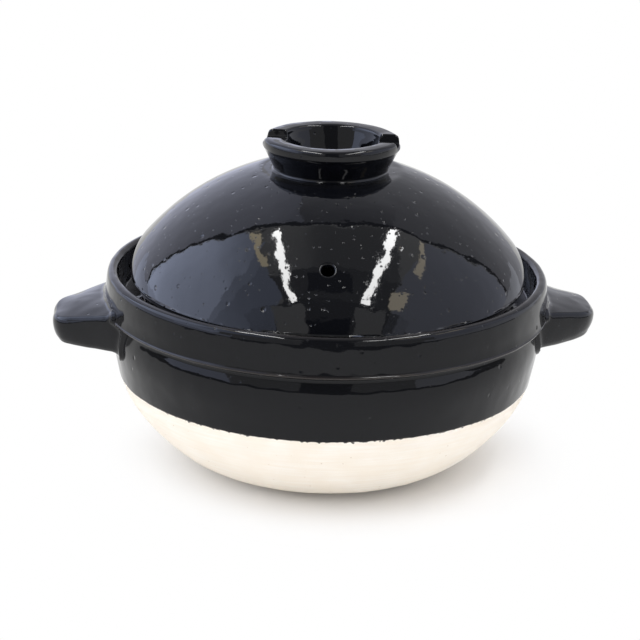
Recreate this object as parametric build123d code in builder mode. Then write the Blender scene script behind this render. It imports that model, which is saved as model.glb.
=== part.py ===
# A donabe: a stoneware pot with two lug handles and a domed lid that lifts off.
# The foot stands on z = 0 with its middle at the origin, +X runs along the lugs,
# +Z is up and every length is in millimetres.

import os
from math import acos, asin, atan2, cos, degrees, hypot, radians, sin, sqrt

from build123d import *

os.makedirs("parts", exist_ok=True)

# Pot bowl: overall sizes
rim_radius = 110.0  # outside of the rounded lip
pot_height = 99.0  # top of the lip
lip_round = 2.7  # half the thickness of the lip
roll_height = 7.0  # from the top of the lip down to the lower edge of its roll
roll_proud = 0.7  # how far the roll stands out from the band under it

# Pot bowl: band, ridge and neck
ridge_depth = 18.4  # sharp lower edge of the band, below the top of the lip
ridge_proud = 1.3  # ridge beyond the rim radius
ridge_round = 0.8
step_height = 3.2  # height over which the ridge steps in to the wall
neck_inset = 2.4  # wall under the ridge, inside the rim radius

# Pot bowl: glazed wall, bare base and foot
glaze_line_height = 47.4
glaze_line_inset = 5.4  # outside of the glaze there, inside the rim radius
glaze_thickness = 0.4
glaze_line_lean = 11.0  # degrees by which the wall leans out there
foot_radius = 50.0
base_radius_shares = (0.673, 0.815, 0.93)  # of the glaze line radius
base_height_shares = (0.122, 0.354, 0.654)  # of the glaze line height

# Pot bowl: inside
floor_thickness = 8.0
wall_thickness = 7.0
ledge_depth = 15.0  # flat ledge on which the lid sits, below the top of the lip
ledge_inset = 8.0  # outer edge of the ledge, inside the rim radius
ledge_width = 16.0
ledge_thickness = 5.5  # at its inner edge
ledge_slope_drop = 9.0  # its underside falls this much further on its way to the wall
ledge_round = 1.5

# Lid dome
lid_inset = 11.2  # widest part of the shoulder, inside the rim radius
seat_lap = 1.0  # inner edge of the ring that sits on the ledge, past the ledge's edge
seat_width = 5.6
seat_round = 1.2
shoulder_rise = 16.8  # from the seat to the widest part
shoulder_round = 12.0
dome_rise = 54.4  # from the widest part to the height that the full dome would reach
crown_margin = 7.5  # the crown is flat out to this far past the foot of the knob
crown_round = 14.0
lid_thickness = 6.0
lid_inner_round = 9.0
crown_inner_round = 40.0
lid_turn = -6.1  # the lid can stand at any angle, its hole faces this far off -Y

# Steam hole
hole_diameter = 6.2
hole_inset = 16.4  # middle of the hole, inside the widest part of the lid

# Lid knob
knob_radius = 33.8  # outside of its upright band
knob_flare = 5.6  # from its foot out to its band
knob_height = 16.4
knob_band_height = 5.3
knob_lip_width = 9.4
knob_funnel = 4.9  # narrowing of its hollow, from the lip down to the crown
knob_lip_round = 2.2
knob_edge_round = 0.8
notch_width = 18.0  # the notches take a ladle or a pair of chopsticks
notch_depth = 4.4
notch_round = 2.5
notch_turn = -4.7  # across the line from the axis to the steam hole

# Lugs
lug_length = 27.6  # from the rim radius to the nose of a lug
lug_root_width = 69.0  # inside the wall, where its two sides end
lug_nose_width = 25.0
lug_nose_length = 4.2  # bulge of the nose beyond its two corners
lug_side_bulge = 2.0
lug_corner_round = 9.0
lug_root_sink = 1.8  # the sides run on this far inside the wall before they are trimmed
lug_flare_length = 5.5  # from the wall outwards, where the clay spreads on to it
lug_flare_rise = 11.0  # of the top, and fall of the underside, on to the end inside
lug_rise = 2.8  # top of the root above the ridge
lug_root_thickness = 18.1
lug_nose_drop = 4.4  # the top falls this far on its way to the nose
lug_nose_thickness = 11.8
lug_top_round = 3.0
lug_bottom_round = 4.0

# Overrun of every cut past the clay that it goes through
overrun = 20.0


def polar(centre, length, angle):
    """Point at an angle in degrees around a centre, in a section."""
    return (
        centre[0] + length * cos(radians(angle)),
        centre[1] + length * sin(radians(angle)),
    )


# Outside of the pot, from the foot to the top of the lip
ridge_height = pot_height - ridge_depth
neck_radius = rim_radius - neck_inset
glaze_line_radius = rim_radius - glaze_line_inset
bare_radius = glaze_line_radius - glaze_thickness
ridge_radius = rim_radius + ridge_proud
band_top_radius = rim_radius - roll_proud
foot_edge = (foot_radius, 0)
bare_edge = (bare_radius, glaze_line_height)
glaze_edge = (glaze_line_radius, glaze_line_height)
neck = (neck_radius, ridge_height - step_height)
ridge = (ridge_radius, ridge_height)
band_top = (band_top_radius, pot_height - roll_height)
lip_outer = (rim_radius, pot_height - lip_round)
lip_top = (rim_radius - lip_round, pot_height)
lip_inner = (rim_radius - 2 * lip_round, pot_height - lip_round)
base_points = [
    (bare_radius * across, glaze_line_height * up)
    for across, up in zip(base_radius_shares, base_height_shares)
]


def draw_outside():
    """The outside of the pot's section, drawn upwards from the foot."""
    lean = polar((0, 0), 1, 90 - glaze_line_lean)
    Spline(foot_edge, *base_points, bare_edge, tangents=[(1, 0), lean])
    Line(bare_edge, glaze_edge)
    Spline(glaze_edge, neck, tangents=[lean, (0, 1)])
    Polyline(neck, ridge, band_top)
    Spline(band_top, lip_outer, tangents=[(1, 1), (0, 1)])


# Ledge inside the rim
ledge_height = pot_height - ledge_depth
ledge_outer_radius = rim_radius - ledge_inset
ledge_inner_radius = ledge_outer_radius - ledge_width


def draw_bowl_inside():
    """The inside of the pot's section, drawn down from the lip to the floor."""
    ledge_outer = (ledge_outer_radius, ledge_height)
    ledge_inner = (ledge_inner_radius, ledge_height)
    ledge_under = (ledge_inner_radius, ledge_height - ledge_thickness)
    wall_top = (
        neck_radius - wall_thickness,
        ledge_height - ledge_thickness - ledge_slope_drop,
    )
    inner_base = [
        (across - wall_thickness * sqrt(1 / 2), up + wall_thickness * sqrt(1 / 2))
        for across, up in base_points[1:]
    ]
    Polyline(lip_inner, ledge_outer, ledge_inner, ledge_under, wall_top)
    Spline(wall_top, *reversed(inner_base), (foot_radius, floor_thickness),
           tangents=[(0, -1), (-1, 0)])
    Polyline((foot_radius, floor_thickness), (0, floor_thickness), (0, 0), foot_edge)


# The pot's outer shape as one solid, used to trim the roots of the lugs
with BuildPart(mode=Mode.PRIVATE) as pot_shape:
    with BuildSketch(Plane.XZ):
        with BuildLine():
            draw_outside()
            Polyline(lip_outer, (0, pot_height - lip_round), (0, 0), foot_edge)
        make_face()
    revolve(axis=Axis.Z)

# Pot bowl: thrown as one piece, hollow, with the ledge for the lid inside the rim
with BuildPart() as pot_bowl:
    with BuildSketch(Plane.XZ) as bowl_section:
        with BuildLine():
            draw_outside()
            ThreePointArc(lip_outer, lip_top, lip_inner)
            draw_bowl_inside()
        make_face()
        fillet(bowl_section.vertices().sort_by_distance(ridge)[0], ridge_round)
        for ledge_end in (ledge_inner_radius, ledge_outer_radius):
            corner = bowl_section.vertices().sort_by_distance((ledge_end, ledge_height))[0]
            fillet(corner, ledge_round)
    revolve(axis=Axis.Z)

# Lugs: flattened tongues of clay, luted to the band and to the wall under the ridge
root_half = lug_root_width / 2
nose_half = lug_nose_width / 2
root_x = sqrt(neck_radius ** 2 - root_half ** 2) - lug_root_sink
flare_x = neck_radius + lug_flare_length
lug_reach = rim_radius + lug_length
nose_x = lug_reach - lug_nose_length
lug_top_height = ridge_height + lug_rise
lug_bottom_height = lug_top_height - lug_root_thickness
lug_nose_top = lug_top_height - lug_nose_drop
lug_nose_bottom = lug_nose_top - lug_nose_thickness
with BuildPart() as right_lug:
    with BuildSketch(Plane.XY) as lug_plan:
        with BuildLine():
            ThreePointArc((nose_x, -nose_half), (lug_reach, 0), (nose_x, nose_half))
            side = SagittaArc((nose_x, nose_half), (root_x, root_half), -lug_side_bulge)
            mirror(side, about=Plane.XZ)
            Line((root_x, root_half), (root_x, -root_half))
        make_face()
        fillet(lug_plan.vertices().sort_by(Axis.X)[-2:], lug_corner_round)
    extrude(amount=pot_height)
    with BuildSketch(Plane.XZ.offset(-rim_radius)):
        with BuildLine():
            top = Line((lug_reach, lug_nose_top), (flare_x, lug_top_height))
            rise = Spline(top @ 1, (root_x, lug_top_height + lug_flare_rise),
                          tangents=[top % 1, (-1, 1)])
            root = Line(rise @ 1, (root_x, lug_bottom_height - lug_flare_rise))
            under = Line((lug_reach, lug_nose_bottom), (flare_x, lug_bottom_height))
            Spline(under @ 1, root @ 1, tangents=[under % 1, (-1, -1)])
            Line(top @ 0, under @ 0)
        make_face()
    extrude(amount=rim_radius * 2, mode=Mode.INTERSECT)
    # Round the long edges of the top and of the underside, but not the inner end
    lug_middle = (lug_nose_top + lug_nose_bottom) / 2
    for low, high, radius in (
        (lug_middle, pot_height, lug_top_round),
        (0, lug_middle, lug_bottom_round),
    ):
        arrises = right_lug.edges().filter_by(Axis.Z, reverse=True)
        arrises = arrises.filter_by(Axis.Y, reverse=True)
        fillet(arrises.filter_by_position(Axis.Z, low, high), radius)
    add(pot_shape.part, mode=Mode.SUBTRACT)
with BuildPart() as left_lug:
    mirror(right_lug.part, about=Plane.YZ)

# Lid dome: thrown as a bowl and turned over; its rim is the bare ring that sits on
# the ledge. One arc makes the dome and a small arc turns its shoulder under.
lid_radius = rim_radius - lid_inset
seat_inner_radius = ledge_inner_radius + seat_lap
seat_outer_radius = seat_inner_radius + seat_width
seat_height = ledge_height
knob_base_radius = knob_radius - knob_flare
hole_from_axis = lid_radius - hole_inset
widest_height = seat_height + shoulder_rise
shoulder_centre = (lid_radius - shoulder_round, widest_height)
dome_radius = (
    shoulder_centre[0] ** 2 + dome_rise ** 2 - shoulder_round ** 2
) / (2 * (dome_rise - shoulder_round))
dome_centre = (0, widest_height + dome_rise - dome_radius)
crown_radius = knob_base_radius + crown_margin
crown_height = dome_centre[1] + sqrt(dome_radius ** 2 - crown_radius ** 2)
shoulder_angle = degrees(
    atan2(shoulder_centre[1] - dome_centre[1], shoulder_centre[0])
)
crown_angle = degrees(acos(crown_radius / dome_radius))
seat_edge = (seat_outer_radius, seat_height)
away = hypot(seat_edge[0] - shoulder_centre[0], seat_edge[1] - shoulder_centre[1])
tuck_angle = degrees(
    atan2(seat_edge[1] - shoulder_centre[1], seat_edge[0] - shoulder_centre[0])
    + acos(shoulder_round / away)
)
inner_dome_radius = dome_radius - lid_thickness
inner_shoulder_x = seat_inner_radius + lid_thickness / 2
inner_wall_angle = degrees(acos(inner_shoulder_x / inner_dome_radius))
inner_crown_height = crown_height - lid_thickness
inner_crown_angle = degrees(asin((inner_crown_height - dome_centre[1]) / inner_dome_radius))
hole_height = dome_centre[1] + sqrt(dome_radius ** 2 - hole_from_axis ** 2)
hole_slope = degrees(acos(hole_from_axis / dome_radius))

with BuildPart() as lid_dome:
    with BuildSketch(Plane.XZ) as dome_section:
        with BuildLine():
            crown = polar(dome_centre, dome_radius, crown_angle)
            Line((0, crown_height), crown)
            CenterArc(dome_centre, dome_radius, shoulder_angle,
                      crown_angle - shoulder_angle)
            shoulder = CenterArc(shoulder_centre, shoulder_round, tuck_angle,
                                 shoulder_angle - tuck_angle)
            seat_inner = (seat_inner_radius, seat_height)
            Polyline(shoulder @ 0, seat_edge, seat_inner)
            inner_top = polar(dome_centre, inner_dome_radius, inner_wall_angle)
            Line(seat_inner, inner_top)
            inside = CenterArc(dome_centre, inner_dome_radius, inner_wall_angle,
                               inner_crown_angle - inner_wall_angle)
            inner_crown = inside @ 1
            Polyline(inner_crown, (0, inner_crown_height), (0, crown_height))
        make_face()
        for place, radius in (
            (crown, crown_round),
            (inner_top, lid_inner_round),
            (inner_crown, crown_inner_round),
            (seat_edge, seat_round),
            (seat_inner, seat_round),
        ):
            fillet(dome_section.vertices().sort_by_distance(place)[0], radius)
    revolve(axis=Axis.Z)
    # Steam hole, drilled square to the dome
    hole_way = Vector(0, -1, 0).rotate(Axis.Z, lid_turn)
    hole_out = hole_way * cos(radians(hole_slope)) + Vector(0, 0, sin(radians(hole_slope)))
    hole_mouth = hole_way * hole_from_axis + Vector(0, 0, hole_height)
    with BuildSketch(Plane(origin=hole_mouth, z_dir=hole_out)):
        Circle(hole_diameter / 2)
    extrude(amount=overrun, both=True, mode=Mode.SUBTRACT)

# Lid knob: a flared ring luted to the flat crown; the crown is the floor of its hollow
knob_top = crown_height + knob_height
knob_mouth_radius = knob_radius - knob_lip_width
knob_floor_radius = knob_mouth_radius - knob_funnel
with BuildPart() as lid_knob:
    with BuildSketch(Plane.XZ) as knob_section:
        band_low = (knob_radius, knob_top - knob_band_height)
        lip_out = (knob_radius, knob_top)
        lip_in = (knob_mouth_radius, knob_top)
        with BuildLine():
            Polyline((knob_base_radius, crown_height), band_low, lip_out, lip_in,
                     (knob_floor_radius, crown_height), close=True)
        make_face()
        for place, radius in (
            (lip_out, knob_lip_round),
            (lip_in, knob_lip_round),
            (band_low, knob_edge_round),
        ):
            fillet(knob_section.vertices().sort_by_distance(place)[0], radius)
    revolve(axis=Axis.Z)
    # Two notches opposite each other, cut by one round-bottomed channel
    notch_way = hole_way.rotate(Axis.Z, 90 + notch_turn)
    channel = Plane(origin=(0, 0, knob_top), x_dir=notch_way.rotate(Axis.Z, 90),
                    z_dir=notch_way)
    with BuildSketch(channel):
        RectangleRounded(notch_width, notch_depth * 2, notch_round)
    extrude(amount=knob_radius + overrun, both=True, mode=Mode.SUBTRACT)

for name, piece in (
    ("pot_bowl", pot_bowl),
    ("left_lug", left_lug),
    ("right_lug", right_lug),
    ("lid_dome", lid_dome),
    ("lid_knob", lid_knob),
):
    piece.part.label = name
    export_step(piece.part, f"parts/{name}.step")
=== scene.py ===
# A donabe: a black glazed stoneware pot with a bare cream base, two lugs and a domed
# lid with a ring knob. The pieces follow in the order in which the pot is put together:
# bowl, lugs, lid, knob, then the table, the lights and the camera. The pot's sizes are
# in millimetres, which MM turns to Blender's metres, and the studio's are in metres.

import math

import bmesh
import bpy
import numpy as np
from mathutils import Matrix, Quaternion, Vector, noise


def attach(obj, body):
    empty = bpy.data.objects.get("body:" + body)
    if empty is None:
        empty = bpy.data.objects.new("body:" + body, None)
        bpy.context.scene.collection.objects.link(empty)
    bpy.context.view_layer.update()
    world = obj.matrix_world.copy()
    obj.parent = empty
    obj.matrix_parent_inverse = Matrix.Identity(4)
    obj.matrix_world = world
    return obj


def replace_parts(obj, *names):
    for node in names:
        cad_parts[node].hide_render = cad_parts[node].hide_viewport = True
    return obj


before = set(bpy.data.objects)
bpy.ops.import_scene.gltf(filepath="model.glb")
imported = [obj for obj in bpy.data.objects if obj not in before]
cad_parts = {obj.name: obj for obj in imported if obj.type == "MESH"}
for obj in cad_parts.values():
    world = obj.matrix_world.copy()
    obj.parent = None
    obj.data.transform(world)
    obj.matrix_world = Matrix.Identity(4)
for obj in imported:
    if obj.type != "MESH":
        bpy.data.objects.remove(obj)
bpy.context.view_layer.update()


# Pot bowl: thrown stoneware, one wall from the foot to the rounded lip, with a ledge
# inside the rim for the lid. It is dipped in glaze down to a line, and the base under
# the line is left bare.

MM = 0.001
POT_HEIGHT = 99.0
FOOT_RADIUS = 50.0
FLOOR_HEIGHT = 8.0
GLAZE_LINE = 46.9
RIDGE_RADIUS, RIDGE_HEIGHT = 111.3, 80.5
LIP_ROUND, LIP_CENTRE, LIP_CREST = 2.7, (107.1, 96.3), 106.6
LEDGE_HEIGHT, LEDGE_INNER, LEDGE_BARE = 84.0, 86.0, 93.0
LEDGE_LOW_EDGE, UNDER_LEDGE = 78.5, (100.6, 69.5)

# The section of the wall, outside from the foot up and inside from the rim down
FLAT_RINGS = (0, 24, 40)
BELLY = [(51.8, 0.4), (70.1, 5.8), (84.9, 16.8), (96.9, 31.0), (104.15, 46.7)]
GLAZE_EDGE = [(104.5, 46.75), (104.6, 47.0)]
WALL = [(104.6, 47.0), (106.1, 55), (107.3, 62), (107.75, 68), (107.3, 72.5), (106.3, 76.2)]
RIDGE_FOOT, RIDGE_CORNER = (105.9, 78.2), (111.6, 80.3)
BAND = [(111.5, 81.2), (111.05, 84.5), (110.9, 87.5), (110.7, 90.3), (110.45, 92.5),
        (110.15, 94.8), (109.8, 96.77)]
INNER_RIM = [(104.4, 96.3), (103.7, 90.0), (102.6, 85.6)]
INNER_WALL = [(100.4, 65.5), (98.6, 52), (91.96, 35.95), (79.97, 21.73), (66, 12.6), (50, 8.4)]

# How uneven the potter's hands left it: height and spacing of the dents, and a seed
BOWL_DENTS = [(0.22, 24, 3.1), (0.10, 9, 7.7)]
# The glaze line strays by so much in slow waves, and the wall near it goes along. The
# waves are noise read on a circle of this size, so that they join up after a whole turn.
LINE_STRAYS, LINE_REACH, WAVE_CIRCLE = 0.35, 6.0, 3.0
# How widely the ridge and the lip are painted lighter, partly for glaze thinning there and partly
# as a painted highlight along the edge, in square millimetres
THIN_AND_HIGHLIGHT_AT_RIDGE, THIN_AND_HIGHLIGHT_AT_LIP = 0.7, 2.0
BOWL_SEGMENTS = 480

GLAZE_BLACK = "#08090d"
# Brownish grey painted on the ridge and the lip: partly the glaze thinning on these edges, partly
# a painted highlight along them
GLAZE_THIN_AND_HIGHLIGHT = "#2e2a28"
CLAY_CREAM = "#fbf5ea"
CLAY_SHADE = "#f7eedf"
CLAY_SPECK = "#c9b598"


def unit(way):
    """A vector of length one the same way."""
    way = np.array(way, float)
    return way / np.linalg.norm(way)


def flowing(points, leave, arrive, step=1.2):
    """Points along the smooth curve through these, leaving and arriving in two ways."""
    p = np.array(points, float)
    h = np.linalg.norm(np.diff(p, axis=0), axis=1)
    n = len(p)
    a, b = np.zeros((n, n)), np.zeros((n, p.shape[1]))
    a[0, 0] = a[-1, -1] = 1
    b[0], b[-1] = unit(leave), unit(arrive)
    for i in range(1, n - 1):
        a[i, i - 1:i + 2] = h[i], 2 * (h[i - 1] + h[i]), h[i - 1]
        b[i] = 3 * (h[i] * (p[i] - p[i - 1]) / h[i - 1] + h[i - 1] * (p[i + 1] - p[i]) / h[i])
    slope = np.linalg.solve(a, b)
    out = []
    for i in range(n - 1):
        for s in np.arange(max(2, round(h[i] / step))) / max(2, round(h[i] / step)):
            out.append((1 + 2 * s) * (1 - s) ** 2 * p[i] + s * (1 - s) ** 2 * h[i] * slope[i]
                       + s * s * (3 - 2 * s) * p[i + 1] + s * s * (s - 1) * h[i] * slope[i + 1])
    return out + [p[-1]]


def arc(centre, radius, start, end, steps):
    """Points on an arc between two angles in degrees."""
    return [np.array([centre[0] + radius * math.cos(math.radians(a)),
                      centre[1] + radius * math.sin(math.radians(a))])
            for a in np.linspace(start, end, steps)]


def eased(before, corner, after, radius, steps=5):
    """A corner turned by a small arc, given as a curve between its two tangent points."""
    before, corner, after = (np.array(v, float) for v in (before, corner, after))
    one = corner + unit(before - corner) * radius
    two = corner + unit(after - corner) * radius
    return [(1 - t) ** 2 * one + 2 * t * (1 - t) * corner + t * t * two
            for t in np.linspace(0, 1, steps)]


def outline(*parts):
    """Joins lists of points to one line and leaves out the doubled ones."""
    line = []
    for point in (q for part in parts for q in part):
        if not line or np.linalg.norm(point - line[-1]) > 0.02:
            line.append(np.array(point, float))
    return line


def hand_made(mesh, dents):
    """Moves each point a little along its normal, as clay shaped by hand is uneven."""
    for height, spacing, seed in dents:
        for v in mesh.verts:
            place = v.co / (spacing * MM) + Vector((seed, seed, seed))
            v.co += v.normal * noise.noise(place) * height * MM


def keep(name, mesh, material):
    """Makes an object of a finished mesh and shades it smooth."""
    bmesh.ops.recalc_face_normals(mesh, faces=mesh.faces)
    data = bpy.data.meshes.new(name)
    mesh.to_mesh(data)
    mesh.free()
    data.polygons.foreach_set("use_smooth", [True] * len(data.polygons))
    data.materials.append(material)
    piece = bpy.data.objects.new(name, data)
    bpy.context.scene.collection.objects.link(piece)
    return piece


def turned(line, segments, layers, first_angle=0.0):
    """A closed mesh turned round the axis from a line that starts and ends on it."""
    mesh = bmesh.new()
    for layer in layers:
        mesh.verts.layers.float.new(layer)
    rings = []
    for x, z in line:
        if x == 0:
            rings.append([mesh.verts.new((0, 0, z * MM))])
            continue
        rings.append([mesh.verts.new((x * math.cos(a) * MM, x * math.sin(a) * MM, z * MM))
                      for a in first_angle + np.arange(segments) * 2 * math.pi / segments])
    for low, high in zip(rings, rings[1:]):
        for j in range(segments):
            k = (j + 1) % segments
            corners = [low[j % len(low)], low[k % len(low)],
                       high[k % len(high)], high[j % len(high)]]
            mesh.faces.new(list(dict.fromkeys(corners)))
    mesh.normal_update()
    return mesh, rings


def paint(colour):
    """An sRGB hex value as the linear colour that Blender's sockets take."""
    rgb = [int(colour[i:i + 2], 16) / 255 for i in (1, 3, 5)]
    return (*[c / 12.92 if c <= 0.04045 else ((c + 0.055) / 1.055) ** 2.4 for c in rgb], 1)


def put(tree, kind, inputs=None, **settings):
    """Adds a node with its settings, and links or sets its inputs."""
    node = tree.nodes.new(kind)
    for key, value in settings.items():
        setattr(node, key, value)
    for name, value in (inputs or {}).items():
        if isinstance(value, bpy.types.NodeSocket):
            tree.links.new(value, node.inputs[name])
        else:
            node.inputs[name].default_value = value
    return node


def new_material(name):
    """A material with an empty node tree and its output."""
    material = bpy.data.materials.new(name)
    material.use_nodes = True
    material.node_tree.nodes.clear()
    return material, material.node_tree


# Relief of the glaze: spacing and height of its slow waves and its orange peel
GLAZE_WAVES, ORANGE_PEEL = (11, 0.2), (3, 0.025)
# Pits where gas left the glaze: spacing, smallest and largest radius, and depth. They are
# drawn about twice as coarse as real pinholes, so that they show.
PINHOLES = {"spacing": 2.8, "smallest": 0.3, "largest": 0.75, "depth": 0.15}
BLISTERS = {"spacing": 5.4, "smallest": 0.8, "largest": 1.7, "depth": 0.24}


def pits_in(tree, place, normal, share, spacing, smallest, largest, depth):
    """Round open pits in the glaze, in this share of the places that could have one."""
    cells = put(tree, "ShaderNodeTexVoronoi", {"Vector": place, "Scale": 1 / (spacing * MM)})
    chance = put(tree, "ShaderNodeSeparateColor", {"Color": cells.outputs["Color"]})
    radius = put(tree, "ShaderNodeMapRange", {"Value": chance.outputs["Red"],
                 "From Min": 1 - share, "From Max": 1.0,
                 "To Min": smallest / spacing, "To Max": largest / spacing})
    there = put(tree, "ShaderNodeMath", {0: chance.outputs["Red"], 1: 1 - share},
                operation="GREATER_THAN")
    within = put(tree, "ShaderNodeMath", {0: cells.outputs["Distance"],
                 1: radius.outputs["Result"]}, operation="DIVIDE")
    hollow = put(tree, "ShaderNodeMapRange", {"Value": within.outputs["Value"], "From Min": 0.15,
                 "From Max": 1.0, "To Min": 1.0, "To Max": 0.0}, interpolation_type="SMOOTHERSTEP")
    sunk = put(tree, "ShaderNodeMath", {0: hollow.outputs["Result"], 1: there.outputs["Value"]},
               operation="MULTIPLY")
    return put(tree, "ShaderNodeBump", {"Height": sunk.outputs["Value"], "Distance": depth * MM,
               "Strength": 1.0, "Normal": normal}, invert=True).outputs["Normal"]


def glaze_surface(tree, pinholes, blisters):
    """The relief of a thick fired glaze: slow waves, orange peel, pinholes and blisters.
    The two numbers are the shares of places that have a pinhole or a burst blister."""
    place = put(tree, "ShaderNodeTexCoord").outputs["Object"]
    waves = put(tree, "ShaderNodeTexNoise", {"Vector": place,
                "Scale": 1 / (GLAZE_WAVES[0] * MM), "Detail": 1.0})
    peel = put(tree, "ShaderNodeTexNoise", {"Vector": place,
               "Scale": 1 / (ORANGE_PEEL[0] * MM), "Detail": 2.0})
    normal = put(tree, "ShaderNodeBump", {"Height": waves.outputs["Fac"],
                 "Distance": GLAZE_WAVES[1] * MM, "Strength": 1.0}).outputs["Normal"]
    normal = put(tree, "ShaderNodeBump", {"Height": peel.outputs["Fac"],
                 "Distance": ORANGE_PEEL[1] * MM, "Strength": 1.0,
                 "Normal": normal}).outputs["Normal"]
    normal = pits_in(tree, place, normal, pinholes, **PINHOLES)
    return place, pits_in(tree, place, normal, blisters, **BLISTERS)


def black_glaze(name, pinholes, blisters):
    """Black iron glaze, fired glossy: a deep black body under a clear glassy skin, which gives
    sharp reflections, wavy from the uneven coat. On edges it is painted brownish grey, partly for
    glaze that thins there and partly as a painted highlight."""
    material, tree = new_material(name)
    _, normal = glaze_surface(tree, pinholes, blisters)
    thin_and_highlight = put(tree, "ShaderNodeAttribute", attribute_name="thin_glaze_and_highlight")
    colour = put(tree, "ShaderNodeMix", {"Factor": thin_and_highlight.outputs["Fac"],
                 "A": paint(GLAZE_BLACK), "B": paint(GLAZE_THIN_AND_HIGHLIGHT)}, data_type="RGBA")
    glaze = put(tree, "ShaderNodeBsdfPrincipled", {
        "Base Color": colour.outputs["Result"], "Roughness": 0.05, "IOR": 1.5,
        "Specular IOR Level": 0.32, "Normal": normal})
    put(tree, "ShaderNodeOutputMaterial", {"Surface": glaze.outputs["BSDF"]})
    return material


bowl_line = outline(
    [(x, 0) for x in FLAT_RINGS],
    eased((40, 0), (FOOT_RADIUS, 0), (60, 2.4), 1.5),
    flowing(BELLY, (2.2, 0.45), (0.19, 1), 1.6),
    GLAZE_EDGE,
    flowing(WALL, (0.2, 1), (-0.3, 1)),
    eased(WALL[-1], RIDGE_FOOT, (111.4, 80.0), 1.8, 9),
    eased(RIDGE_FOOT, RIDGE_CORNER, (110.95, 88), 0.9, 8),
    flowing(BAND, (-0.15, 1), (-0.17, 1)),
    arc(LIP_CENTRE, LIP_ROUND, 12, 180, 15),
    flowing(INNER_RIM, (0, -1), (-0.3, -1)),
    eased(INNER_RIM[-1], (102.1, LEDGE_HEIGHT), (99, LEDGE_HEIGHT), 1.5),
    [(x, LEDGE_HEIGHT) for x in (98, 95, 92, 89)],
    eased((89, LEDGE_HEIGHT), (LEDGE_INNER, LEDGE_HEIGHT), (LEDGE_INNER, LEDGE_LOW_EDGE), 1.5),
    eased((LEDGE_INNER, LEDGE_HEIGHT), (LEDGE_INNER, LEDGE_LOW_EDGE), UNDER_LEDGE, 1.5),
    eased((LEDGE_INNER, LEDGE_LOW_EDGE), UNDER_LEDGE, (100.3, 60), 4, 7),
    flowing(INNER_WALL, (0, -1), (-1, -0.1), 3.0),
    [(x, FLOOR_HEIGHT) for x in reversed(FLAT_RINGS)],
)
bowl, bowl_rings = turned(bowl_line, BOWL_SEGMENTS, ["above_glaze_line", "thin_glaze_and_highlight"])
hand_made(bowl, BOWL_DENTS)
above_line = bowl.verts.layers.float["above_glaze_line"]
thin_and_highlight = bowl.verts.layers.float["thin_glaze_and_highlight"]
# The inside is glazed all over but for the ledge, so only the outside follows the line.
# These are heights well over it and under it.
ALL_GLAZED, ALL_BARE = 40.0, -2.0
lip_row = max(range(len(bowl_line)), key=lambda row: bowl_line[row][1])
for row, ((x, z), ring) in enumerate(zip(bowl_line, bowl_rings)):
    on_ledge = x < LEDGE_BARE and abs(z - LEDGE_HEIGHT) < 0.1
    near_line = max(0.0, 1 - abs(z - GLAZE_LINE) / LINE_REACH)
    # The ridge and the lip get the edge colour: partly glaze thinning there, partly a painted
    # highlight along these edges
    on_ridge = math.exp(-((z - RIDGE_HEIGHT) ** 2 + (x - RIDGE_RADIUS) ** 2) / THIN_AND_HIGHLIGHT_AT_RIDGE)
    on_lip = math.exp(-((z - POT_HEIGHT) ** 2 + (x - LIP_CREST) ** 2) / THIN_AND_HIGHLIGHT_AT_LIP)
    for v in ring:
        turn = v.co.xy.normalized() * WAVE_CIRCLE
        stray = LINE_STRAYS * noise.noise(Vector((turn.x, turn.y, 0.7)))
        v[above_line] = ALL_BARE if on_ledge else ALL_GLAZED if row > lip_row else z - GLAZE_LINE
        v[thin_and_highlight] = min(1.0, on_ridge + 0.6 * on_lip)
        v.co.z = max(v.co.z + stray * near_line * MM, 0.0)


# Spacing and length of the glaze's tiny runs, and half the width of its edge
RUNS_APART, RUN_LENGTH, EDGE_HALF = 2.2, 1.1, 0.06
# Spacings of what shows on the bare clay, and depths of its grain and its turning lines.
# The grain is drawn three times coarser than real grog, so that it shows.
TURNING_LINES, CLOUDS, IRON_SPECKS, GRAIN = 26.0, 14.0, 3.4, 0.9
GRAIN_DEPTH, LINES_DEPTH = 0.07, 0.1
# The share of places with a speck of iron, its largest radius in spacings, its strength
SPECK_SHARE, SPECK_LARGEST, SPECK_STRENGTH = 0.4, 0.14, 0.55


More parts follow.
